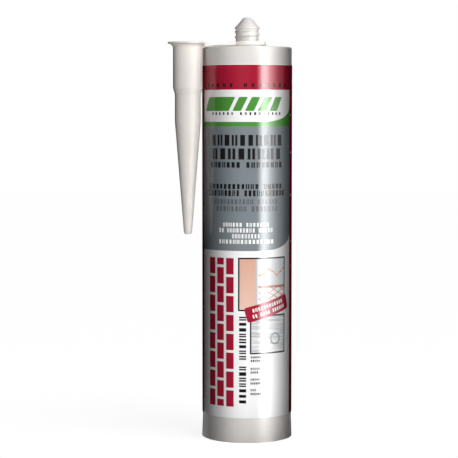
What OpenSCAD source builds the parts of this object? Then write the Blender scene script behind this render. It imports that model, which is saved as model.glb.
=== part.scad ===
// Sealant cartridge for a caulking gun, with its nozzle hanging from the neck by a strap.
// It stands on its open rear end. Z runs up the barrel's axis and the label faces -Y.

/* [Barrel] */
// Outer diameter of the barrel
barrel_d = 49.9; // [49:0.1:51]
// Thickness of the barrel's wall
wall = 1.5; // [1.3:0.05:1.8]
// Height of the shoulder's flat top above the rear rim
shoulder_z = 218.6; // [210:0.2:226]
// Thickness of the shoulder
shoulder_t = 2; // [1.6:0.1:2.6]
// Rounding of the shoulder's outer edge
shoulder_round = 1; // [0.4:0.1:1.4]
// Length of the wider lead-in at the rear
lead_in = 12; // [8:0.5:12.5]
// How far the lead-in stands out over the barrel
flare = 0.4; // [0.1:0.05:0.5]
// How far the lead-in opens the bore
bore_flare = 0.45; // [0.2:0.05:0.6]
// Radius of the raised seat round the neck
seat_r = 11.6; // [10:0.2:14]
// Height of that seat
seat_h = 0.7; // [0.4:0.1:1]
// Slope of that seat's edge
seat_slope = 0.2; // [0.1:0.05:0.3]

/* [Neck] */
// Radius of the neck between the threads
neck_r = 6.3; // [6:0.1:7]
// Thickness of the neck's wall
neck_wall = 1.4; // [1:0.1:1.8]
// Height of the neck's collar edge above the shoulder
neck_h = 10.9; // [9.5:0.1:13]
// Width of the collar that ends the thread
collar_h = 0.6; // [0.4:0.1:1]
// Height of the closed tip above the collar
tip_h = 5.7; // [4.5:0.1:7]
// Radius of the closed tip's end
tip_r = 2.5; // [1.5:0.1:3.5]
// Height of the dome on the closed tip
tip_dome = 0.7; // [0.4:0.1:1]
// How far the thread stands out from the neck
thread_h = 0.6; // [0.4:0.05:0.8]
// Rise of the thread in one turn
thread_pitch = 2.75; // [2:0.25:3]
// Turns of thread on the neck
thread_turns = 1.9; // [1:0.1:2]
// Width of the thread at its crest
thread_crest = 0.7; // [0.5:0.05:0.9]
// Width of the thread at its foot
thread_foot = 1.6; // [1.2:0.05:1.9]

/* [Piston] */
// Depth of the piston's rear edge inside the rear rim
piston_in = 16; // [14:0.5:30]
// Length of the piston
piston_len = 20; // [16:0.5:26]
// Thickness of the piston's wall and crown
piston_wall = 1.4; // [1.1:0.1:2]
// Height of each of the piston's sealing lips
lip_h = 3; // [2:0.25:4]
// Depth of the waist between the lips
waist = 0.6; // [0.3:0.1:0.9]
// Bevel of the crown's edge
crown_bevel = 1; // [0.5:0.1:1.5]
// Number of ribs behind the crown
rib_count = 6; // [3:1:9]
// Height of the ribs
rib_h = 4; // [2:0.5:6]
// Thickness of the ribs
rib_t = 1.2; // [0.8:0.1:2]
// Radius of the hub that the ribs meet at
hub_r = 4; // [3:0.5:6]

/* [Nozzle] */
// Radius of the nozzle's rim
rim_r = 11; // [10.4:0.1:12]
// Thickness of the rim's edge
rim_t = 1; // [0.7:0.1:1.4]
// Height of the hanging rim above the shoulder
rim_rise = 2.6; // [2.2:0.1:3]
// Thickness of the socket's wall outside its thread
socket_wall = 1.2; // [1:0.1:1.6]
// Length of the socket
socket_len = 25.4; // [20:0.2:32]
// Turns of thread in the socket
socket_turns = 3; // [1.5:0.25:4]
// Outer radius of the plain body below the socket
body_r = 7.2; // [6.8:0.1:7.8]
// Length of the plain body
body_len = 18.4; // [10:0.2:26]
// Length of the taper
taper_len = 62.6; // [50:0.2:75]
// Radius of the taper at its closed tip
nozzle_tip_r = 2.2; // [2:0.1:3.5]
// Thickness of the nozzle's wall
nozzle_wall = 1.25; // [1:0.05:1.5]
// Thickness of the plug that closes the taper's tip
nozzle_plug = 2; // [1:0.1:3]
// Height of the step from the body out to the socket
step_h = 3.3; // [1:0.1:4]

/* [Strap] */
// Thickness of the ring round the neck
ring_t = 2; // [1.4:0.1:2.4]
// Width of the ring between its two edges
ring_w = 4; // [3:0.1:5]
// Width of the strap at its ends
strap_w = 12.4; // [8:0.2:14]
// Width of the strap at its middle
strap_waist = 11.4; // [6:0.2:13]
// Thickness of the strap where it dips next to the ring
strap_t = 1.8; // [0.7:0.1:1.9]
// Turn of the strap from -X towards the front
strap_turn = 17.5; // [-60:0.5:60]

/* [Label] */
// Height of the label's lower edge above the rear rim
label_z = 13.8; // [13:0.2:20]
// Height of the label
label_h = 194.9; // [184:0.1:197]
// Thickness of the label film
label_t = 0.18; // [0.1:0.02:0.25]
// Width of the film's overlap at the back
overlap_w = 8; // [4:1:14]
// Thickness of the ink
ink_t = 0.05; // [0.03:0.01:0.08]

/* [Print] */
// Width of the front panel along the label
panel_w = 61.6; // [50:0.2:66]
// How far the front panel's middle lies round from the label's middle
panel_shift = -0.8; // [-4:0.1:4]
// Width of the stripe down each side of the panel
stripe_w = 12; // [6:0.5:18]
// Height of the band at the top
band_h = 13.9; // [8:0.1:18]
// Height of the white field below the band
field_h = 17.6; // [12:0.1:24]
// Height of the thin bar below the white field
bar_h = 2.4; // [1:0.1:4]
// Height of the grey panel
grey_h = 68.3; // [50:0.1:74]
// Width of the rounded corners of the fields
corner_w = 22; // [12:0.2:26]
// Height of the rounded corners of the fields
corner_h = 9; // [4:0.2:11]
// Clear height above what is printed on the lower field
top_margin = 4; // [3:0.1:6]
// Clear height below the strip of bricks
foot_margin = 6.3; // [3:0.1:12]
// Clear width left of the strip of bricks
side_margin = 7.5; // [4:0.1:9]
// Width of the strip of bricks
row_w = 16.4; // [10:0.1:18]
// Gap between the strip and the frames, and between the frames
print_gap = 3.1; // [1:0.1:4]
// Size of the upper picture frame
frame_w = 29.2; // [22:0.2:30]
// Width of the lower picture frame
small_frame_w = 22.8; // [14:0.1:26]
// Height of the lower picture frame
small_frame_h = 20.8; // [14:0.2:26]
// Width of the frame's line
frame_line = 0.6; // [0.3:0.1:1]
// Length of the tilted badge
badge_w = 26; // [18:0.2:28]
// Height of the tilted badge
badge_h = 7.4; // [5:0.2:9]
// Tilt of the badge
badge_tilt = 15; // [0:1:25]
// How far the badge's middle lies left of the upper frame's right edge
badge_inset = 12.3; // [8:0.1:16]
// How far the badge's middle lies above the upper frame's lower edge
badge_rise = 1; // [-2:0.1:4]
// Rounding of the badge's corners
badge_round = 1.4; // [0.5:0.1:2.4]

/* [Fit] */
// Radial play between the piston and the bore
piston_fit = 0.05; // [0.02:0.01:0.09]
// Radial play between the neck's thread and the socket's
thread_fit = 0.1; // [0.05:0.05:0.2]
// Play between the ring and the neck it hangs on
ring_fit = 0.3; // [0.2:0.05:0.35]
// Gap between the hanging nozzle and the label
nozzle_gap = 1.2; // [0.5:0.1:4]
// Play between the sealant and what holds it
fill_fit = 0.05; // [0.02:0.01:0.1]
// Gap under the film and under the ink
film_fit = 0.02; // [0.01:0.01:0.04]

/* [Hidden] */
$fn = 96;

// Radii that the pieces share
barrel_r = barrel_d / 2;
bore_r = barrel_r - wall;
lead_r = bore_r + bore_flare;
lead_taper = 2 * bore_flare;
crest_r = neck_r + thread_h;
neck_bore_r = neck_r - neck_wall;

// Heights along the barrel
ceiling_z = shoulder_z - shoulder_t;
ceiling_round = 0.8;
seat_z = shoulder_z + seat_h;
collar_z = shoulder_z + neck_h;
thread_sink = 0.3;
thread_lap = 0.3;
thread_land = 0.1;
thread_top = collar_z - collar_h - thread_h - thread_land;
thread_z = thread_top - thread_turns * thread_pitch;
crown_z = piston_in + piston_len;

// The socket and the strap
socket_bore = crest_r + thread_fit;
socket_r = socket_bore + socket_wall;
label_r = barrel_r + film_fit + label_t;
lap_r = label_r + label_t;
reach = label_r + nozzle_gap + socket_r;
rim_z = shoulder_z + rim_rise;
socket_floor = rim_z - socket_len;
body_z = socket_floor - body_len;
nozzle_tip_z = body_z - taper_len;
ring_r = neck_r + ring_fit + ring_w;
ring_z = seat_z + ring_fit;

// The printed panel, in millimetres along the label and up the barrel
ink_r = label_r + film_fit;
panel_left = panel_shift - panel_w / 2;
panel_right = panel_shift + panel_w / 2;
label_top = label_z + label_h;
band_z = label_top - band_h;
bar_z = band_z - field_h - bar_h;
grey_z = bar_z - grey_h;
row_z = label_z + foot_margin;
row_h = grey_z - top_margin - row_z;
row_left = panel_left + side_margin;
frame_left = row_left + row_w + print_gap;
frame_top = grey_z - top_margin;
frame_right = frame_left + frame_w;
small_top = frame_top - frame_w - print_gap;
badge_u = frame_right - badge_inset;
badge_z = frame_top - frame_w + badge_rise;

// Points along an elliptic arc from one angle to another
function arc(centre, rx, ry, from, to, steps = 8) =
    [for (i = [0:steps]) let (a = from + (to - from) * i / steps)
        [centre[0] + rx * cos(a), centre[1] + ry * sin(a)]];

// Lowest and highest point of an outline in the flat label, at one place along it
function span(outline, u) =
    let (count = len(outline), heights = [for (i = [0:count - 1])
        let (p = outline[i], q = outline[(i + 1) % count])
            if ((p[0] - u) * (q[0] - u) <= 0 && p[0] != q[0])
                p[1] + (q[1] - p[1]) * (u - p[0]) / (q[0] - p[0])])
    [u, min(heights), max(heights)];

// A rectangle with round corners, turned about its centre, in the flat label
function tilted(centre, w, h, r, tilt) =
    [for (k = [0:3]) let (
        sx = (k == 0 || k == 3) ? 1 : -1,
        sy = k < 2 ? 1 : -1,
        corner = [sx * (w / 2 - r), sy * (h / 2 - r)])
        for (p = arc(corner, r, r, 90 * k, 90 * k + 90, 4))
            centre + [p[0] * cos(tilt) - p[1] * sin(tilt), p[0] * sin(tilt) + p[1] * cos(tilt)]];

// A ring with a right-handed thread on one face, its other face sunk in a plain wall.
// Both ends of the thread fade into the plain face.
module thread_ring(face_r, turns, out) {
    columns = 40;
    length = turns * thread_pitch;
    rows = round(turns * 8);
    fade = 0.8;
    dip = 0.05;
    side = out ? 1 : -1;
    back_r = face_r - side * (thread_sink + 0.3);
    function ease(t) = t < 0 ? 0 : t > 1 ? 1 : t * t * (3 - 2 * t);
    function crest(phase) = let (off = abs(phase - round(phase)) * thread_pitch)
        ease((thread_foot / 2 - off) / ((thread_foot - thread_crest) / 2));
    function face(z, a) = face_r + side * ((thread_h + dip)
        * crest(z / thread_pitch - a / 360) * ease(min(z, length - z) / fade) - dip);
    function turn(i) = 360 * i / columns;
    function at(r, a, z) = [r * cos(a), r * sin(a), z];
    front = [for (j = [0:rows], i = [0:columns - 1]) let (z = length * j / rows)
        at(face(z, turn(i)), turn(i), z)];
    back = [for (z = [0, length], i = [0:columns - 1]) at(back_r, turn(i), z)];
    low = len(front);
    high = low + columns;
    function patch(a, b, c, d) = out ? [[a, b, c], [b, d, c]] : [[a, c, b], [b, c, d]];
    faces = [for (i = [0:columns - 1]) let (n = (i + 1) % columns, top = rows * columns)
        each concat(
            [for (j = [0:rows - 1]) let (p = j * columns)
                each patch(p + i, p + columns + i, p + n, p + columns + n)],
            patch(low + i, low + n, high + i, high + n),
            patch(low + i, i, low + n, n),
            patch(top + i, high + i, top + n, high + n))];
    polyhedron(concat(front, back), faces);
}

// A stretch of tube round the barrel's axis, between two heights
module sleeve(r, t, z0, z1) {
    rotate_extrude()
        translate([r, z0]) square([t, z1 - z0]);
}

// A field of ink between two places along the label and two heights
module field(left, right, z0, z1, r = ink_r) {
    turn = 180 / PI / ink_r;
    rotate([0, 0, left * turn - 90])
        rotate_extrude(angle = (right - left) * turn)
            translate([r, z0]) square([ink_t, z1 - z0]);
}

// A field of ink with any outline that a vertical line crosses twice, in the flat label
module inked(outline, r, step) {
    inset = 0.01;
    places = [for (p = outline) p[0]];
    left = min(places) + inset;
    width = max(places) - inset - left;
    last = ceil(width / step);
    columns = [for (i = [0:last]) span(outline, left + width * i / last)];
    points = [for (c = columns, p = [[r, c[1]], [r + ink_t, c[1]], [r + ink_t, c[2]], [r, c[2]]])
        let (a = c[0] / ink_r * 180 / PI) [p[0] * sin(a), -p[0] * cos(a), p[1]]];
    sides = [for (i = [0:last - 1], k = [0:3]) let (n = (k + 1) % 4, a = 4 * i, b = 4 * i + 4)
        each [[a + k, a + n, b + k], [b + k, a + n, b + n]]];
    polyhedron(points, concat([[0, 2, 1], [0, 3, 2]], sides,
        [[4 * last, 4 * last + 1, 4 * last + 2], [4 * last, 4 * last + 2, 4 * last + 3]]));
}

// The blow-moulded shape of the cartridge: open rear, closed and threaded neck
module barrel() {
    rim_round = 0.3;
    core_r = neck_r - thread_sink;
    tip_z = collar_z + tip_h;
    profile = concat(
        [[lead_r, 0]],
        arc([barrel_r + flare - rim_round, rim_round], rim_round, rim_round, -90, 0, 4),
        [[barrel_r, lead_in]],
        arc([barrel_r - shoulder_round, shoulder_z - shoulder_round],
            shoulder_round, shoulder_round, 0, 90),
        [[seat_r, shoulder_z], [seat_r - seat_slope, seat_z], [neck_r, seat_z],
         [neck_r, thread_z + thread_lap], [core_r, thread_z + thread_lap],
         [core_r, thread_top - thread_lap], [neck_r, thread_top - thread_lap],
         [neck_r, collar_z - collar_h - thread_h], [crest_r, collar_z - collar_h],
         [crest_r, collar_z], [tip_r, tip_z - tip_dome]],
        arc([0, tip_z - tip_dome], tip_r, tip_dome, 20, 90, 5),
        [[0, tip_z - neck_wall], [tip_r - neck_wall / 2, tip_z - neck_wall - tip_dome],
         [neck_bore_r, collar_z - neck_wall / 2], [neck_bore_r, ceiling_z]],
        arc([bore_r - ceiling_round, ceiling_z - ceiling_round],
            ceiling_round, ceiling_round, 90, 0, 5),
        [[bore_r, lead_in + lead_taper], [lead_r, lead_in]]);
    color("ghostwhite") {
        rotate_extrude() polygon(profile);
        translate([0, 0, thread_z]) thread_ring(neck_r, thread_turns, true);
    }
}

// Plunger with two sealing lips, a crown against the sealant and ribs behind it
module piston() {
    edge = 0.4;
    cove = 1;
    r = bore_r - piston_fit;
    inner = r - waist - piston_wall;
    floor_z = crown_z - piston_wall;
    profile = [
        [0, crown_z], [r - crown_bevel, crown_z], [r, crown_z - crown_bevel],
        [r, crown_z - lip_h], [r - waist, crown_z - lip_h - waist],
        [r - waist, piston_in + lip_h + waist], [r, piston_in + lip_h],
        [r, piston_in + edge], [r - edge, piston_in],
        [inner, piston_in], [inner, floor_z - cove], [inner - cove, floor_z], [0, floor_z]];
    color("whitesmoke") {
        rotate_extrude() polygon(profile);
        translate([0, 0, floor_z - rib_h]) cylinder(r = hub_r, h = rib_h + piston_wall / 2);
        for (i = [0:rib_count - 1])
            rotate([0, 0, i * 360 / rib_count])
                translate([hub_r / 2, -rib_t / 2, floor_z - rib_h])
                    cube([inner + piston_wall / 2 - hub_r / 2, rib_t, rib_h + piston_wall / 2]);
    }
}

// The paste between the piston's crown and the closed tip of the neck
module sealant() {
    r = bore_r - fill_fit;
    top = ceiling_z - fill_fit;
    neck_fill = neck_bore_r - fill_fit;
    profile = concat(
        [[0, crown_z + fill_fit], [r, crown_z + fill_fit]],
        arc([r - ceiling_round, top - ceiling_round], ceiling_round, ceiling_round, 0, 90, 5),
        [[neck_fill, top], [neck_fill, collar_z - neck_wall], [0, collar_z - neck_wall]]);
    color("gainsboro") rotate_extrude() polygon(profile);
}

// Nozzle, strap and ring, moulded together: the nozzle hangs with its socket open upwards
module nozzle() {
    lip = 0.2;
    mouth = 3 * lip;
    over = 1;
    grip_top = rim_z - rim_t;
    grip_z = grip_top - socket_turns * thread_pitch;
    under = rim_z - rim_t;
    cove_w = rim_r - lip - socket_r - 0.4;
    cove_h = 2.6;
    tip_round = 1.2;
    slope = (body_r - nozzle_tip_r) / taper_len;
    chamber_r = body_r - nozzle_wall;
    outside = concat(
        [[0, nozzle_tip_z]],
        arc([nozzle_tip_r + slope * tip_round - tip_round, nozzle_tip_z + tip_round],
            tip_round, tip_round, -90, 0, 5),
        [[body_r, body_z], [body_r, socket_floor - step_h], [socket_r, socket_floor]],
        arc([socket_r + cove_w, under - cove_h], cove_w, cove_h, 180, 90),
        [[rim_r - lip, under], [rim_r, under + lip], [rim_r, rim_z - lip], [rim_r - lip, rim_z]]);
    inside = [
        [0, nozzle_tip_z + nozzle_plug],
        [nozzle_tip_r - nozzle_wall, nozzle_tip_z + nozzle_plug],
        [chamber_r, body_z], [chamber_r, socket_floor - step_h],
        [socket_bore, socket_floor], [socket_bore, grip_z + thread_lap],
        [socket_bore + thread_sink, grip_z + thread_lap],
        [socket_bore + thread_sink, grip_top - thread_lap],
        [socket_bore, grip_top - thread_lap], [socket_bore, rim_z - mouth],
        [socket_bore + mouth, rim_z], [socket_bore + mouth, rim_z + over], [0, rim_z + over]];
    color("white") rotate([0, 0, strap_turn]) {
        translate([-reach, 0, 0]) {
            difference() {
                rotate_extrude() polygon(concat(outside, [[0, rim_z]]));
                rotate_extrude() polygon(inside);
            }
            translate([0, 0, grip_z]) thread_ring(socket_bore, socket_turns, false);
        }
        ring();
        strap();
    }
}

// Ring that is trapped on the neck below its thread
module ring() {
    edge = 0.3;
    inner = neck_r + ring_fit;
    rotate_extrude()
        polygon([[inner, ring_z], [ring_r - edge, ring_z], [ring_r, ring_z + edge],
                 [ring_r, ring_z + ring_t - edge], [ring_r - edge, ring_z + ring_t],
                 [inner, ring_z + ring_t]]);
}

// Flexible strap from the ring to the nozzle's rim, dipping next to the ring
module strap() {
    into = 0.4;
    droop = 0.6;
    below_rim = 0.25;
    near = ring_r - ring_w / 2;
    far = reach - socket_r + into;
    low = ring_z - droop;
    high = rim_z - below_rim;
    steps = 12;
    function over(t) = let (line = ring_z + ring_t + (high - ring_z - ring_t) * t)
        line - (ring_t - strap_t) * 1.1 * sin(180 * pow(t, 0.6));
    function half(t) = (strap_waist + (strap_w - strap_waist) * pow(2 * t - 1, 2)) / 2;
    along = [for (i = [0:steps]) i / steps];
    back = [for (i = [steps:-1:0]) i / steps];
    intersection() {
        rotate([90, 0, 0])
            linear_extrude(height = strap_w, center = true)
                polygon(concat([[-near, ring_z], [-far, low]],
                    [for (t = back) [-near - (far - near) * t, over(t)]]));
        translate([0, 0, low - 1])
            linear_extrude(height = ring_t + rim_rise)
                polygon(concat(
                    [for (t = along) [-near - (far - near) * t, half(t)]],
                    [for (t = back) [-near - (far - near) * t, -half(t)]]));
    }
}

// Film wrapped round the barrel and lapped over itself at the back
module label() {
    lap = overlap_w / label_r * 180 / PI;
    color("white") {
        sleeve(barrel_r + film_fit, label_t, label_z, label_top);
        rotate([0, 0, 90 - lap / 2])
            rotate_extrude(angle = lap)
                translate([label_r - label_t / 2, label_z]) square([label_t * 3 / 2, label_h]);
    }
}

// Red band, side stripes, strip of bricks and tilted badge
module red_print() {
    edge = 0.4;
    back = PI * ink_r - overlap_w / 2;
    color("firebrick") {
        field(film_fit - back, back - film_fit, band_z, label_top - edge);
        field(back, back + overlap_w, band_z, label_top - edge, lap_r + film_fit);
        for (left = [panel_left - stripe_w, panel_right])
            field(left, left + stripe_w, label_z + edge, band_z - film_fit);
        bricks();
        badge();
    }
}

// Strip of bricks up the panel, in running bond, its courses side by side
module bricks() {
    courses = 3;
    count = 8;
    joint = 1.5;
    course = (row_w + joint) / courses;
    pitch = (row_h + joint) / count;
    for (row = [0:courses - 1], i = [-1:count - 1]) {
        from = row_z + i * pitch + (row % 2) * pitch / 2;
        low = max(row_z, from);
        high = min(row_z + row_h, from + pitch - joint);
        if (high - low > joint)
            field(row_left + row * course, row_left + (row + 1) * course - joint, low, high);
    }
}

// Tilted badge, printed over the corners of the two picture frames
module badge() {
    inked(tilted([badge_u, badge_z], badge_w, badge_h, badge_round, badge_tilt),
        ink_r + ink_t + film_fit, 0.5);
}

// Thin bar under the white field, swelling into the field's rounded corner
module green_print() {
    corner_z = bar_z + bar_h;
    corner = arc([panel_right - corner_w, corner_z + corner_h], corner_w, corner_h, -90, 0, 12);
    color("forestgreen")
        inked(concat([[panel_left, bar_z], [panel_left, corner_z]], corner,
            [[panel_right, bar_z]]), ink_r, 1.2);
}

// Grey panel with its lower right corner rounded
module grey_print() {
    corner = arc([panel_right - corner_w, grey_z + corner_h], corner_w, corner_h, -90, 0, 12);
    color("slategray")
        inked(concat([[panel_left, bar_z], [panel_left, grey_z]], corner,
            [[panel_right, bar_z]]), ink_r, 1.2);
}

// Lines of the two picture frames
module black_print() {
    color("black") {
        frame(frame_left, frame_right, frame_top - frame_w, frame_top);
        frame(frame_right - small_frame_w, frame_right, small_top - small_frame_h, small_top);
    }
}

// A frame of even line width between two places along the label and two heights
module frame(left, right, z0, z1) {
    field(left, right, z0, z0 + frame_line);
    field(left, right, z1 - frame_line, z1);
    for (u = [left, right - frame_line])
        field(u, u + frame_line, z0 + frame_line + film_fit, z1 - frame_line - film_fit);
}

barrel();
piston();
sealant();
nozzle();
label();
red_print();
green_print();
grey_print();
black_print();
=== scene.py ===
import math
import random

import bpy
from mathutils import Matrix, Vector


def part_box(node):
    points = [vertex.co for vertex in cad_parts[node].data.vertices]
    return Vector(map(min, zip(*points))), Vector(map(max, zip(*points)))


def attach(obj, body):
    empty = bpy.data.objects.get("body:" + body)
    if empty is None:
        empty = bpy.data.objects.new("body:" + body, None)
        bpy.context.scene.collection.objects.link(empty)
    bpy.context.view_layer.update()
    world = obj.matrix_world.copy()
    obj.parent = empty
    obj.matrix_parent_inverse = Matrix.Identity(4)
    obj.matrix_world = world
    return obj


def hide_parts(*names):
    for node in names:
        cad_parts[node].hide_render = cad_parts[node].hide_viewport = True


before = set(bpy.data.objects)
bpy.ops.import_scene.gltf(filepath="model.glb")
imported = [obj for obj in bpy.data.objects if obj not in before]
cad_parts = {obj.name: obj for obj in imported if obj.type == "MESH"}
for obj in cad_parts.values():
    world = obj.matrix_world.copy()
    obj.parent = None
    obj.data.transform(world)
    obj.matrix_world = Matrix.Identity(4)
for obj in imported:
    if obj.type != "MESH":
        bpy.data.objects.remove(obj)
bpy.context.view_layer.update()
mm = 0.001
print("frame loaded:", ", ".join(sorted(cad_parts)))


# The camera, measured from the photograph: the barrel's axis lies at axisPixel of 458
shot = {
    "imagePixels": 458,
    "axisPixel": 247.05,
    "pixelsPerMetre": 1781,
    "distance": 0.96,
    "height": 0.183,
    "aimHeight": 0.1169,
    "lens": 134.4,
    "sensorWidth": 36,
}


def clearSelection():
    if bpy.context.mode != "OBJECT":
        bpy.ops.object.mode_set(mode="OBJECT")
    bpy.ops.object.select_all(action="DESELECT")


def setCamera():
    side = (shot["imagePixels"] / 2 - shot["axisPixel"]) / shot["pixelsPerMetre"]
    place = (side, -shot["distance"], shot["height"])
    pitch = math.atan2(shot["height"] - shot["aimHeight"], shot["distance"])
    clearSelection()
    bpy.ops.object.camera_add(location=place, rotation=(math.pi / 2 - pitch, 0, 0))
    camera = bpy.context.object
    camera.name = "photoCamera"
    camera.data.lens = shot["lens"]
    camera.data.sensor_width = shot["sensorWidth"]
    bpy.context.scene.camera = camera
    print("camera set")


# Materials. A Value is one output of a node, so that sums on it read as plain Python.
class Value:
    def __init__(self, finish, socket):
        self.finish = finish
        self.socket = socket

    def sum(self, operation, first, second=0.0):
        return self.finish.add("ShaderNodeMath", {"operation": operation}, {0: first, 1: second})

    def __add__(self, other):
        return self.sum("ADD", self, other)

    def __radd__(self, other):
        return self.sum("ADD", other, self)

    def __sub__(self, other):
        return self.sum("SUBTRACT", self, other)

    def __rsub__(self, other):
        return self.sum("SUBTRACT", other, self)

    def __mul__(self, other):
        return self.sum("MULTIPLY", self, other)

    def __rmul__(self, other):
        return self.sum("MULTIPLY", other, self)

    def __truediv__(self, other):
        return self.sum("DIVIDE", self, other)

    def __rtruediv__(self, other):
        return self.sum("DIVIDE", other, self)

    def __lt__(self, other):
        return self.sum("LESS_THAN", self, other)

    def __gt__(self, other):
        return self.sum("GREATER_THAN", self, other)

    def __mod__(self, other):
        return self.sum("FLOORED_MODULO", self, other)

    def __rmod__(self, other):
        return self.sum("FLOORED_MODULO", other, self)

    def __abs__(self):
        return self.sum("ABSOLUTE", self)

    def sine(self):
        return self.sum("SINE", self)


# One material: constants go on the main shader's own sockets, and every other node comes
# from add()
class Finish:
    def __init__(self, name, constants):
        self.material = bpy.data.materials.new(name)
        self.material.use_nodes = True
        self.tree = self.material.node_tree
        self.shader = self.tree.nodes["Principled BSDF"]
        for socket, value in constants.items():
            self.shader.inputs[socket].default_value = value

    def find(self, sockets, key):
        if isinstance(key, int):
            return sockets[key]
        return next((s for s in sockets if s.identifier == key), None) or sockets[key]

    def add(self, kind, settings=None, inputs=None, output=0):
        node = self.tree.nodes.new(kind)
        for setting, value in (settings or {}).items():
            if setting == "stops":
                self.setStops(node.color_ramp, value)
            else:
                setattr(node, setting, value)
        for key, value in (inputs or {}).items():
            self.feed(self.find(node.inputs, key), value)
        return Value(self, self.find(node.outputs, output))

    def setStops(self, ramp, stops):
        while len(ramp.elements) < len(stops):
            ramp.elements.new(0.5)
        for element, (position, colour) in zip(ramp.elements, stops):
            element.position = position
            element.color = colour

    def feed(self, socket, value):
        if isinstance(value, Value):
            self.tree.links.new(value.socket, socket)
        elif isinstance(value, tuple) and len(value) == 3 and socket.type == "RGBA":
            socket.default_value = value + (1.0,)
        else:
            socket.default_value = value

    def set(self, socket, value):
        self.feed(self.shader.inputs[socket], value)

    def place(self, scale=(1.0, 1.0, 1.0)):
        spot = self.add("ShaderNodeTexCoord", output="Object")
        return self.add("ShaderNodeMapping", inputs={"Vector": spot, "Scale": scale})

    def noise(self, vector, scale, detail=3.0, roughness=0.5):
        sockets = {"Vector": vector, "Scale": scale, "Detail": detail, "Roughness": roughness}
        return self.add("ShaderNodeTexNoise", inputs=sockets)

    def mix(self, mask, below, above, blend="MIX"):
        settings = {"data_type": "RGBA", "blend_type": blend}
        sockets = {"Factor_Float": mask, "A_Color": below, "B_Color": above}
        return self.add("ShaderNodeMix", settings, sockets, "Result_Color")

    def bump(self, height, distance, under=None):
        sockets = {"Height": height, "Distance": distance, "Strength": 1.0}
        if under:
            sockets["Normal"] = under
        return self.add("ShaderNodeBump", inputs=sockets, output="Normal")


def shade(colour, factor):
    return tuple(channel * factor for channel in colour)


# Printed film and its inks share one gloss and one set of faint wrinkles. A noise is given
# by its scale and detail.
film = {
    "roughness": 0.13,
    "roughnessSpread": 0.05,
    "cloud": (38, 4),
    "grain": (1400, 2),
    "grainShare": 0.3,
    "mottle": 0.05,
    "folds": (90, 2),
    "foldStretch": (1.0, 1.0, 0.12),
    "foldHeight": 0.05 * mm,
    "peel": (900, 1),
    "peelHeight": 0.004 * mm,
}


def printedFinish(name, colour):
    finish = Finish(name, {"IOR": 1.5})
    return dressFilm(finish, colour)


def dressFilm(finish, colour):
    cloud = finish.noise(finish.place(), *film["cloud"])
    grain = finish.noise(finish.place(), *film["grain"])
    tone = cloud * (1 - film["grainShare"]) + grain * film["grainShare"]
    if isinstance(colour, Value):
        deep = finish.mix(1.0, colour, (1 - film["mottle"],) * 3, "MULTIPLY")
        finish.set("Base Color", finish.mix(tone, deep, colour))
    else:
        deep = shade(colour, 1 - film["mottle"])
        pale = tuple(min(1.0, c) for c in shade(colour, 1 + film["mottle"]))
        finish.set("Base Color", finish.mix(tone, deep, pale))
    finish.set("Roughness", cloud * film["roughnessSpread"] + film["roughness"])
    folds = finish.noise(finish.place(film["foldStretch"]), *film["folds"])
    peel = finish.noise(finish.place(), *film["peel"])
    wrinkled = finish.bump(folds, film["foldHeight"])
    finish.set("Normal", finish.bump(peel, film["peelHeight"], under=wrinkled))
    return finish


# Polyethylene mouldings: satin, with a fine grain and faint flow marks along the moulding
moulding = {
    "glowScale": 2 * mm,
    "glowRadius": (1.0, 0.9, 0.8),
    "streaks": (130, 4),
    "cloud": (55, 3),
    "cloudShare": 0.4,
    "deep": 0.955,
    "pale": 1.03,
    "roughnessSpread": 0.12,
    "streakHeight": 0.03 * mm,
    "grain": (2600, 2),
    "grainHeight": 0.006 * mm,
}


def mouldedFinish(name, colour, roughness, flow, glow):
    finish = Finish(name, {"IOR": 1.5, "Subsurface Weight": glow,
                           "Subsurface Scale": moulding["glowScale"],
                           "Subsurface Radius": moulding["glowRadius"]})
    streaks = finish.noise(finish.place((1.0, 1.0, flow)), *moulding["streaks"])
    cloud = finish.noise(finish.place(), *moulding["cloud"])
    tone = streaks * (1 - moulding["cloudShare"]) + cloud * moulding["cloudShare"]
    deep, pale = shade(colour, moulding["deep"]), shade(colour, moulding["pale"])
    finish.set("Base Color", finish.mix(tone, deep, pale))
    spread = moulding["roughnessSpread"]
    finish.set("Roughness", cloud * spread + (roughness - spread / 2))
    grain = finish.noise(finish.place(), *moulding["grain"])
    waves = finish.bump(streaks, moulding["streakHeight"])
    finish.set("Normal", finish.bump(grain, moulding["grainHeight"], under=waves))
    return finish


colours = {
    "barrel": (0.665, 0.64, 0.615),
    "nozzle": (0.835, 0.785, 0.745),
    "piston": (0.8, 0.8, 0.77),
    "sealant": (0.76, 0.75, 0.72),
    "film": (0.9, 0.895, 0.895),
    "red": (0.375, 0.012, 0.036),
    "green": (0.078, 0.29, 0.045),
    "grey": (0.205, 0.235, 0.255),
    "black": (0.012, 0.012, 0.014),
    "dim": (0.115, 0.125, 0.14),
    "paper": (0.9, 0.9, 0.9),
}


# Finish of each moulding: its name, roughness, squeeze of the flow marks' scale along the
# moulding and share of the light that it scatters inside
dress = {
    "barrel": ("barrelPlastic", 0.4, 0.05, 0.0),
    "nozzle": ("nozzlePlastic", 0.55, 0.1, 0.35),
    "piston": ("pistonPlastic", 0.4, 1.0, 0.0),
    "sealant": ("sealantPaste", 0.5, 1.0, 0.0),
}


def dressNodes():
    for name, (finishName, roughness, flow, glow) in dress.items():
        finish = mouldedFinish(finishName, colours[name], roughness, flow, glow)
        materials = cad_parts[name].data.materials
        materials.clear()
        materials.append(finish.material)
    print("mouldings dressed")


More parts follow.
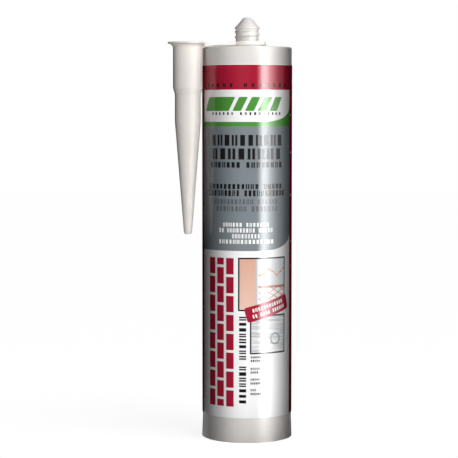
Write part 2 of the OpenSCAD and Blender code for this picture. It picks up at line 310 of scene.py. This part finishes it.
# The film and its print are laid out flat, in millimetres: u along the label from its
# middle, z up the barrel. Each piece is then wrapped round the barrel and given its thickness.
label = {
    "left": -31.6,
    "right": 30.0,
    "stripe": 12.0,
    "edge": 0.4,
    "lap": 8.0,
    "lapRise": 3.0,
    "film": 0.18,
    "ink": 0.05,
    "gap": 0.02,
    "column": 1.2,
    "bandZ": 194.8,
    "barZ": 174.8,
    "barHeight": 2.4,
    "greyZ": 106.5,
    "cornerWidth": 22.0,
    "cornerHeight": 9.0,
    "roundingSegments": 5,
    "smoothAngle": 30.0,
    "tolerance": 0.01,
}
labelLow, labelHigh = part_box("label")
label["radius"] = -labelLow.y / mm
label["low"] = labelLow.z / mm
label["high"] = labelHigh.z / mm
halfTurn = math.pi * label["radius"]


def startFlat(name):
    clearSelection()
    bpy.ops.mesh.primitive_plane_add(size=1)
    piece = bpy.context.object
    piece.name = piece.data.name = name
    bpy.ops.object.mode_set(mode="EDIT")
    bpy.ops.mesh.delete(type="VERT")
    return piece


# Turns all that is selected, as seen from the front
def turnSelected(degrees, centre=(0, 0, 0)):
    bpy.ops.transform.rotate(value=math.radians(degrees), orient_axis="Y",
                             center_override=centre)


def addField(left, right, low, high, rounding=0.0, tilt=0.0):
    middle = ((left + right) / 2 * mm, 0, (low + high) / 2 * mm)
    size = ((right - left) * mm, 1, (high - low) * mm)
    bpy.ops.mesh.select_all(action="DESELECT")
    bpy.ops.mesh.primitive_plane_add(size=1, location=middle, rotation=(math.pi / 2, 0, 0))
    bpy.ops.transform.resize(value=size, center_override=middle)
    if rounding:
        bpy.ops.mesh.bevel(offset=rounding * mm, segments=label["roundingSegments"],
                           affect="VERTICES")
    if tilt:
        turnSelected(tilt, middle)


# Cuts the flat piece into narrow columns, so that it can follow the barrel's curve
def cutColumns(piece):
    bpy.ops.object.mode_set(mode="OBJECT")
    places = [vertex.co.x / mm for vertex in piece.data.vertices]
    bpy.ops.object.mode_set(mode="EDIT")
    first = math.ceil(min(places) / label["column"] + label["tolerance"])
    last = math.floor(max(places) / label["column"] - label["tolerance"])
    for count in range(first, last + 1):
        bpy.ops.mesh.select_all(action="SELECT")
        bpy.ops.mesh.bisect(plane_co=(count * label["column"] * mm, 0, 0), plane_no=(1, 0, 0))
    bpy.ops.object.mode_set(mode="OBJECT")


# How far the film has risen over its own start, where its end laps it at the back
def lapRise(u):
    start = halfTurn - label["lap"] / 2 - label["lapRise"]
    share = min(1.0, max(0.0, (u - start) / label["lapRise"]))
    return label["film"] * share * share * (3 - 2 * share)


def wrap(piece, radius, thickness):
    cutColumns(piece)
    flat = piece.data.attributes.new("flatPlace", "FLOAT_VECTOR", "POINT")
    for vertex, place in zip(piece.data.vertices, flat.data):
        u, z = vertex.co.x / mm, vertex.co.z / mm
        place.vector = (u, z, 0)
        turn = u / label["radius"]
        reach = (radius + lapRise(u)) * mm
        vertex.co = (reach * math.sin(turn), -reach * math.cos(turn), z * mm)
    solid = piece.modifiers.new("thickness", "SOLIDIFY")
    solid.thickness = thickness * mm
    solid.offset = 1
    solid.use_even_offset = True
    bpy.ops.object.modifier_apply(modifier=solid.name)
    bpy.ops.object.shade_smooth_by_angle(angle=math.radians(label["smoothAngle"]))


def finishPiece(piece, finish, replaces=()):
    piece.data.materials.clear()
    piece.data.materials.append(finish.material)
    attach(piece, "cartridge")
    if replaces:
        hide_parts(*replaces)


# Radius of each layer of ink over the film
def inkRadius(layer):
    return label["radius"] + label["gap"] + (layer - 1) * (label["ink"] + label["gap"])


def finishInk(piece, finish, layer=1, replaces=()):
    wrap(piece, inkRadius(layer), label["ink"])
    finishPiece(piece, finish, replaces)


def makeFilm():
    piece = startFlat("labelFilm")
    end = halfTurn + label["lap"] / 2
    addField(-end, end, label["low"], label["high"])
    wrap(piece, label["radius"] - label["film"], label["film"])
    finishPiece(piece, printedFinish("filmWhite", colours["film"]), ["label"])


# Rows of bricks in running bond, set on end up the panel
bricks = {
    "left": -24.1,
    "width": 16.4,
    "low": 20.1,
    "roomAbove": 4.0,
    "courses": 3,
    "count": 8,
    "joint": 1.5,
}


def addBricks():
    high = label["greyZ"] - bricks["roomAbove"]
    joint = bricks["joint"]
    course = (bricks["width"] + joint) / bricks["courses"]
    pitch = (high - bricks["low"] + joint) / bricks["count"]
    for row in range(bricks["courses"]):
        left = bricks["left"] + row * course
        shift = pitch / 2 if row % 2 else 0.0
        for place in range(-1, bricks["count"] + 1):
            low = max(bricks["low"], bricks["low"] + shift + place * pitch)
            top = min(high, bricks["low"] + shift + (place + 1) * pitch - joint)
            if top - low > joint:
                addField(left, left + course - joint, low, top)


badge = {"middle": (12.6, 74.4), "width": 28.0, "height": 8.4, "rounding": 1.5, "tilt": 15.0}


def makeRedPrint():
    finish = printedFinish("redInk", colours["red"])
    piece = startFlat("redPrint")
    high = label["high"] - label["edge"]
    addField(label["lap"] / 2 - halfTurn, halfTurn + label["lap"] / 2, label["bandZ"], high)
    for left in (label["left"] - label["stripe"], label["right"]):
        addField(left, left + label["stripe"], label["low"] + label["edge"],
                 label["bandZ"] - label["gap"])
    addBricks()
    finishInk(piece, finish, replaces=["red_print"])
    piece = startFlat("tiltedBadge")
    u, z = badge["middle"]
    addField(u - badge["width"] / 2, u + badge["width"] / 2, z - badge["height"] / 2,
             z + badge["height"] / 2, badge["rounding"], badge["tilt"])
    finishInk(piece, finish, layer=2)


# A field whose lower or upper edge, at curveZ, rises in a curve at its right end
def addCornerField(piece, low, high, curveZ):
    addField(label["left"], label["right"], low, high)
    cutColumns(piece)
    start = label["right"] - label["cornerWidth"]
    for vertex in piece.data.vertices:
        u, z = vertex.co.x / mm, vertex.co.z / mm
        if abs(z - curveZ) < label["tolerance"] and u > start:
            share = min(1.0, (u - start) / label["cornerWidth"])
            vertex.co.z = (z + label["cornerHeight"] * (1 - math.sqrt(1 - share * share))) * mm
    bpy.ops.object.mode_set(mode="EDIT")


def makePanels():
    barHigh = label["barZ"] + label["barHeight"]
    piece = startFlat("greyPanel")
    addCornerField(piece, label["greyZ"], label["barZ"], label["greyZ"])
    finishInk(piece, printedFinish("greyInk", colours["grey"]),
              replaces=["grey_print"])
    piece = startFlat("greenBar")
    addCornerField(piece, label["barZ"], barHigh, barHigh)
    finishInk(piece, printedFinish("greenInk", colours["green"]),
              replaces=["green_print"])


# The two picture frames: left, right, low and high edge of each
pictures = {
    "upper": (-5.2, 24.2, 73.3, 102.8),
    "lower": (1.4, 24.2, 49.4, 71.0),
    "line": 0.8,
}


def makeFrames():
    piece = startFlat("pictureFrames")
    line = pictures["line"]
    for name in ("upper", "lower"):
        left, right, low, high = pictures[name]
        addField(left, right, low, low + line)
        addField(left, right, high - line, high)
        addField(left, left + line, low + line, high - line)
        addField(right - line, right, low + line, high - line)
    finishInk(piece, printedFinish("blackInk", colours["black"]),
              replaces=["black_print"])


# Rows of plain marks: blocks and pairs of bars. The badge's rows are laid out round its
# middle, and the upright row along the label before it is turned.
# Each row: left, right, low and high edge, the number of marks in its groups, and the
# marks' share of the pitch where it isn't the usual one.
rows = {
    "markShare": 0.74,
    "halfMark": (0.42, 0.52),
    "blockInset": 0.08,
    "barShare": 0.38,
    "groupGap": 0.9,
    "bandBlack": [(-28.0, 26.0, 196.1, 198.3, (5, 7), 0.42)],
    "black": [
        (-22.7, 20.9, 181.0, 182.5, (6, 10), 0.45),
        (1.6, 7.8, 47.1, 48.3, (6,)),
        (1.6, 7.4, 45.1, 46.3, (5,)),
        (1.6, 7.0, 40.8, 41.9, (5,)),
        (1.6, 6.2, 38.7, 39.9, (4,)),
        (1.6, 7.1, 34.8, 35.9, (5,)),
        (1.6, 7.4, 32.6, 33.8, (6,)),
        (1.6, 4.9, 28.9, 30.1, (3,)),
        (1.6, 7.6, 26.7, 27.9, (6,)),
    ],
    "upright": [(21.4, 70.7, 0.7, 4.6, (7, 8))],
    "greyBlack": [
        (-22.7, 21.7, 164.2, 170.1, (10,)),
        (-22.5, 21.2, 156.7, 162.7, (8,)),
        (-23.6, 21.5, 152.2, 155.2, (7, 8)),
        (-24.2, 21.5, 140.5, 143.2, (12, 5)),
        (-25.1, 23.4, 136.6, 139.8, (9, 11)),
    ],
    "greyDim": [
        (-20.4, 18.3, 132.1, 134.9, (11, 6)),
        (-18.9, 18.3, 128.2, 131.1, (8, 7)),
    ],
    "greyWhite": [
        (-14.3, 12.4, 119.8, 122.0, (6, 7)),
        (-16.9, 14.8, 116.6, 119.0, (2, 9, 5)),
        (-8.9, 7.0, 113.4, 115.8, (9,)),
        (-17.1, 15.4, 110.4, 112.7, (15,)),
    ],
    "badgeWhite": [(-10.0, 10.0, 0.6, 2.6, (12,)), (-10.8, 10.8, -2.6, -0.6, (2, 4, 6))],
    "tickWhite": [(31.6, 32.8, z, z + 0.9, (1,)) for z in (110.1, 136.0, 159.7, 180.5)],
}
draws = random.Random(7)


def addRow(left, right, low, high, groups, share=rows["markShare"]):
    pitch = (right - left) / (sum(groups) + rows["groupGap"] * (len(groups) - 1))
    start = left
    for count in groups:
        for place in range(count):
            middle = start + (place + 0.5) * pitch
            half = pitch * share * draws.uniform(*rows["halfMark"])
            addMark(middle - half, middle + half, low, high, draws.choice(("block", "pair")))
        start += (count + rows["groupGap"]) * pitch


def addMark(left, right, low, high, kind):
    inset = (right - left) * rows["blockInset"]
    bar = (right - left) * rows["barShare"]
    if kind == "block":
        addField(left + inset, right - inset, low, high)
    else:
        addField(left, left + bar, low, high)
        addField(right - bar, right, low, high)


def startRows(name, *keys):
    piece = startFlat(name)
    for key in keys:
        for row in rows[key]:
            addRow(*row)
    return piece


def makeRows():
    black = printedFinish("rowBlack", colours["black"])
    finishInk(startRows("blackRows", "black"), black)
    piece = startRows("uprightRow", "upright")
    bpy.ops.mesh.select_all(action="SELECT")
    turnSelected(90.0)
    finishInk(piece, black)
    for name, ink, slot, layer, keys in (
            ("panelBlackRows", "black", "black_ink", 2, ("bandBlack", "greyBlack")),
            ("panelDimRows", "dim", "grey_ink", 2, ("greyDim",)),
            ("panelWhiteRows", "paper", "label_film", 2, ("greyWhite", "tickWhite"))):
        piece = startRows(name, *keys)
        finishInk(piece, printedFinish(name + "Ink", colours[ink]), layer)
    piece = startRows("badgeRows", "badgeWhite")
    u, z = badge["middle"]
    bpy.ops.mesh.select_all(action="SELECT")
    turnSelected(badge["tilt"])
    bpy.ops.transform.translate(value=(u * mm, 0, z * mm))
    finishInk(piece, printedFinish("badgeWhite", colours["paper"]), 3)
    print("printed rows set")


# Slanted slats in the white field, a long one and short ones
ornament = {
    "low": 183.2,
    "high": 190.8,
    "slats": [(-28.4, -10.6), (-8.4, -3.6), (-1.4, 3.4), (5.6, 10.4), (12.6, 17.4)],
    "slope": 0.5,
    "rounding": 0.5,
}


def makeOrnament():
    low, high = ornament["low"], ornament["high"]
    piece = startFlat("greenOrnament")
    for left, right in ornament["slats"]:
        addField(left, right, low, high, ornament["rounding"])
    bpy.ops.object.mode_set(mode="OBJECT")
    for vertex in piece.data.vertices:
        vertex.co.x += (vertex.co.z - low * mm) * ornament["slope"]
    bpy.ops.object.mode_set(mode="EDIT")
    finishInk(piece, printedFinish("ornamentGreen", colours["green"]))


# The pictures are fields of colour worked out from the place on the flat label
wall = {
    "cloud": (0.35, 4),
    "ground": (0.60, 0.645, 0.665),
    "shade": (0.74, 0.765, 0.775),
    "block": (0.71, 0.40, 0.30),
    "blockEdge": (0.80, 0.55, 0.45),
    "blockRight": 4.6,
    "blushLow": 74.0,
    "blushHeight": 28.0,
    "seams": ((6.1, (0.83, 0.85, 0.86)), (5.5, (0.55, 0.56, 0.56))),
    "shelf": (0.47, 0.17, 0.11),
    "shelfZ": 86.6,
    "shelfHalf": 0.65,
    "mesh": (0.52, 0.30, 0.28),
    "meshGround": (0.86, 0.80, 0.79),
    "meshPitch": 3.4,
    "meshSlope": 0.55,
    "meshHalf": 0.30,
    "bead": (0.74, 0.29, 0.16),
    "beadZ": 94.6,
    "beadWaves": ((0.62, 1.5), (1.7, 0.4)),
    "beadHalf": 0.45,
}
brushed = {
    "streaks": (1.0, 5, 0.62),
    "stretch": (0.05, 0.85, 1.0),
    "stops": [(0.34, (0.40, 0.41, 0.42, 1)), (0.62, (0.86, 0.86, 0.87, 1))],
    "ring": (0.33, 0.34, 0.36),
    "ringMiddle": (16.5, 57.6),
    "ringSquare": 9.0,
    "ringBand": 3.0,
}


# The place on the flat label, in millimetres, whole and as two values for shader sums
def flatPlace(finish):
    flat = finish.add("ShaderNodeAttribute", {"attribute_name": "flatPlace"}, output="Vector")
    across, up = (finish.add("ShaderNodeSeparateXYZ", inputs={0: flat}, output=axis)
                  for axis in ("X", "Y"))
    return flat, across, up


def wallFinish():
    finish = Finish("wallPicture", {"IOR": 1.5})
    flat, u, z = flatPlace(finish)
    cloud = finish.noise(flat, *wall["cloud"])
    colour = finish.mix(cloud, wall["ground"], wall["shade"])
    rise = z - wall["beadZ"]
    for turn, swing in wall["beadWaves"]:
        rise = rise - (u * turn).sine() * swing
    colour = finish.mix(abs(rise) < wall["beadHalf"], colour, wall["bead"])
    pitch = wall["meshPitch"]
    lines = 1.0
    for slope in (wall["meshSlope"], -wall["meshSlope"]):
        off = abs((z + u * slope) % pitch - pitch / 2)
        lines = lines * (off > wall["meshHalf"])
    mesh = finish.mix(lines, wall["mesh"], wall["meshGround"])
    colour = finish.mix(z < wall["shelfZ"], colour, mesh)
    colour = finish.mix(abs(z - wall["shelfZ"]) < wall["shelfHalf"], colour, wall["shelf"])
    for right, seam in wall["seams"]:
        colour = finish.mix(u < right, colour, seam)
    share = (z - wall["blushLow"]) / wall["blushHeight"]
    block = finish.mix(share, wall["blockEdge"], wall["block"])
    return dressFilm(finish, finish.mix(u < wall["blockRight"], colour, block))


def brushedFinish():
    finish = Finish("brushedPicture", {"IOR": 1.5})
    flat, u, z = flatPlace(finish)
    laid = finish.add("ShaderNodeMapping", inputs={"Vector": flat, "Scale": brushed["stretch"]})
    streaks = finish.noise(laid, *brushed["streaks"])
    metal = finish.add("ShaderNodeValToRGB", {"stops": brushed["stops"]}, {"Fac": streaks},
                       "Color")
    across, up = u - brushed["ringMiddle"][0], z - brushed["ringMiddle"][1]
    ring = abs(across * across + up * up - brushed["ringSquare"]) < brushed["ringBand"]
    return dressFilm(finish, finish.mix(ring, metal, brushed["ring"]))


def makePictures():
    line = pictures["line"] + label["gap"]
    for name, key, finish in (("upperPicture", "upper", wallFinish()),
                              ("lowerPicture", "lower", brushedFinish())):
        left, right, low, high = pictures[key]
        piece = startFlat(name)
        addField(left + line, right - line, low + line, high - line)
        finishInk(piece, finish)
    print("pictures filled")


# The floor is white for the camera, lights the object less, and isn't mirrored in the gloss
floor = {
    "size": 6.0,
    "sink": 0.2 * mm,
    "roughness": 0.9,
    "glow": 0.85,
    "paint": 0.86,
    "bounce": 0.45,
}


def makeStage():
    clearSelection()
    bpy.ops.mesh.primitive_plane_add(size=floor["size"], location=(0, 0, -floor["sink"]))
    plane = bpy.context.object
    plane.name = "floor"
    finish = Finish("floorPaint", {"Roughness": floor["roughness"], "Specular IOR Level": 0.0})
    path = finish.add("ShaderNodeLightPath", output="Is Camera Ray")
    glossy = finish.add("ShaderNodeLightPath", output="Is Glossy Ray")
    finish.set("Base Color", finish.mix(path, (floor["bounce"],) * 3, (floor["paint"],) * 3))
    finish.set("Emission Strength", 1.0)
    finish.set("Emission Color", finish.mix(path, (0, 0, 0), (floor["glow"],) * 3))
    clear = finish.add("ShaderNodeBsdfTransparent", output="BSDF")
    surface = Value(finish, finish.shader.outputs["BSDF"])
    seen = finish.add("ShaderNodeMixShader", inputs={0: glossy, 1: surface, 2: clear},
                      output="Shader")
    finish.feed(finish.tree.nodes["Material Output"].inputs["Surface"], seen)
    plane.data.materials.append(finish.material)
    makeSky()
    makeLamps()
    print("stage set")


# White background for the camera, a low even light for the rest
sky = {"seen": (1.0,) * 3, "fill": (0.035,) * 3}


def makeSky():
    world = bpy.data.worlds.new("studio")
    bpy.context.scene.world = world
    world.use_nodes = True
    nodes, links = world.node_tree.nodes, world.node_tree.links
    nodes.clear()
    path = nodes.new("ShaderNodeLightPath")
    mixed = nodes.new("ShaderNodeMixShader")
    out = nodes.new("ShaderNodeOutputWorld")
    links.new(path.outputs["Is Camera Ray"], mixed.inputs[0])
    for entry, name in ((1, "fill"), (2, "seen")):
        background = nodes.new("ShaderNodeBackground")
        background.inputs["Color"].default_value = sky[name] + (1,)
        links.new(background.outputs["Background"], mixed.inputs[entry])
    links.new(mixed.outputs["Shader"], out.inputs["Surface"])


# Tall strips of soft light: distance from the barrel's axis, turn from the front, low end
# and power
strips = {
    "width": 0.02,
    "high": 0.41,
    "keyStrip": (0.047, -8.0, -0.006, 0.058),
    "rightStrip": (0.040, 30.0, 0.008, 0.0315),
    "backStrip": (0.160, 180.0, -0.19, 0.5),
}
# A far lamp for the nozzle: distance, turn, middle height, width, height and power
nozzleLamp = (1.0, 12.0, 0.22, 0.25, 0.8, 9.0)
# Small lamps for the neck, and for the strap and the shoulder: place, tilt from straight
# down, turn, size and power
smallLamps = {
    "neckLamp": ((0.018, -0.0195, 0.240), 70.0, 42.71, 0.02, 0.0054),
    "strapLamp": ((-0.024, -0.044, 0.240), 60.0, 0.0, 0.03, 0.0031),
}
floorSun = {"rotation": (0.35, 0.3, 0.0), "strength": 0.46, "angle": 32.0}


def makeLamps():
    for name in ("keyStrip", "rightStrip", "backStrip"):
        distance, turn, low, power = strips[name]
        high = strips["high"]
        addStanding(name, distance, turn, (low + high) / 2, strips["width"], high - low, power)
    for name, (place, tilt, turn, size, power) in smallLamps.items():
        addLamp(name, place, (math.radians(tilt), 0, math.radians(turn)), size, size, power)
    addStanding("nozzleLamp", *nozzleLamp)
    addFloorSun()
    shareLight()
    half = softbox["height"] / 2
    makeSoftbox("softbox", softbox["turn"], -half, half, softbox["glow"])
    makeSoftbox("backSoftbox", softbox["turn"] + 180, -half, softbox["backHigh"],
                softbox["backGlow"])
    makeTent()


# A group that some lamps leave out, or that a lamp lights alone
def lightGroup(name, objects, state):
    group = bpy.data.collections.new(name)
    for member in objects:
        group.objects.link(member)
    for entry in group.collection_objects:
        entry.light_linking.link_state = state
    return group


# The nozzle can swing past the near strips, so they leave it out and a far lamp lights
# nothing else. The floor is left out too: it has a soft sun of its own for the shadow.
def shareLight():
    nozzle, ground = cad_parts["nozzle"], bpy.data.objects["floor"]
    notNozzleOrFloor = lightGroup("notNozzleOrFloor", [nozzle, ground], "EXCLUDE")
    notFloor = lightGroup("notFloor", [ground], "EXCLUDE")
    onlyNozzle = lightGroup("onlyNozzle", [nozzle], "INCLUDE")
    onlyFloor = lightGroup("onlyFloor", [ground], "INCLUDE")
    receivers = {"keyStrip": notNozzleOrFloor, "rightStrip": notNozzleOrFloor,
                 "backStrip": notFloor, "neckLamp": notFloor, "nozzleLamp": onlyNozzle,
                 "strapLamp": notFloor, "floorSun": onlyFloor}
    for name, group in receivers.items():
        bpy.data.objects[name].light_linking.receiver_collection = group
    for name, group in {"keyStrip": notNozzleOrFloor, "rightStrip": notNozzleOrFloor,
                        "nozzleLamp": notFloor, "strapLamp": notFloor}.items():
        bpy.data.objects[name].light_linking.blocker_collection = group


def addFloorSun():
    clearSelection()
    bpy.ops.object.light_add(type="SUN", rotation=floorSun["rotation"])
    sun = bpy.context.object
    sun.name = "floorSun"
    sun.data.energy = floorSun["strength"]
    sun.data.angle = math.radians(floorSun["angle"])


# An upright lamp that faces the barrel's axis
def addStanding(name, distance, turn, middle, width, height, power):
    turn = math.radians(turn)
    place = (distance * math.sin(turn), -distance * math.cos(turn), middle)
    addLamp(name, place, (math.pi / 2, 0, turn), width, height, power)


def addLamp(name, place, rotation, width, height, power):
    clearSelection()
    bpy.ops.object.light_add(type="AREA", location=place, rotation=rotation)
    lamp = bpy.context.object
    lamp.name = name
    lamp.data.shape = "RECTANGLE"
    lamp.data.size = width
    lamp.data.size_y = height
    lamp.data.energy = power
    lamp.visible_glossy = False
    lamp.visible_camera = False


# The softbox that the gloss mirrors: bright to its left, fading to its right. Each step of
# the fall is a turn from the front and the share of the glow there.
softbox = {
    "turn": 60.0,
    "distance": 1.0,
    "height": 3.2,
    "raise": 0.1,
    "backHigh": -0.3,
    "glow": 17.5,
    "backGlow": 5.0,
    "spread": (-36.0, 46.0),
    "fall": [(26, 0.0), (33, 0.40), (39, 0.97), (44, 1.0), (51, 0.80), (58, 0.45), (68, 0.25),
             (76, 0.12), (86, 0.05), (98, 0.02)],
}


def makeSoftbox(name, turn, low, high, glow):
    turn = math.radians(turn)
    reach = softbox["distance"]
    left, right = (math.tan(math.radians(edge)) for edge in softbox["spread"])
    box = startFlat(name)
    addField(left / mm, right / mm, low / mm, high / mm)
    bpy.ops.object.mode_set(mode="OBJECT")
    box.location = (reach * math.sin(turn), -reach * math.cos(turn), softbox["raise"])
    box.rotation_euler = (0, 0, turn)
    finish = Finish(name + "Cloth", {"Base Color": (0, 0, 0, 1), "Specular IOR Level": 0.0})
    spot = finish.add("ShaderNodeTexCoord", output="Object")
    across = finish.add("ShaderNodeSeparateXYZ", inputs={0: spot}, output="X")
    share = (across - left) / (right - left)
    stops = []
    for place, strength in softbox["fall"]:
        reached = math.tan(math.radians(place - softbox["turn"]))
        stops.append(((reached - left) / (right - left), (strength,) * 3 + (1,)))
    ramp = finish.add("ShaderNodeValToRGB", {"stops": stops}, {"Fac": share}, "Color")
    finish.set("Emission Color", ramp)
    finish.set("Emission Strength", glow)
    finish.material.cycles.emission_sampling = "NONE"
    box.data.materials.append(finish.material)
    box.visible_camera = box.visible_diffuse = box.visible_shadow = False


# A black tent behind the lamps, which only the gloss can see
blackTent = {"segments": 24, "rings": 12, "radius": 5.0}


def makeTent():
    clearSelection()
    bpy.ops.mesh.primitive_uv_sphere_add(
        segments=blackTent["segments"], ring_count=blackTent["rings"],
        radius=blackTent["radius"])
    tent = bpy.context.object
    tent.name = "blackTent"
    finish = Finish("blackCloth", {"Base Color": (0, 0, 0, 1), "Specular IOR Level": 0.0})
    tent.data.materials.append(finish.material)
    tent.visible_camera = tent.visible_diffuse = tent.visible_shadow = False
    tent.visible_transmission = False


def makePrint():
    makeFilm()
    makeRedPrint()
    makePanels()
    makeFrames()
    makePictures()
    makeOrnament()
    makeRows()
    print("film and print wrapped")


setCamera()
bpy.context.scene.view_settings.view_transform = "Standard"
dressNodes()
makePrint()
makeStage()
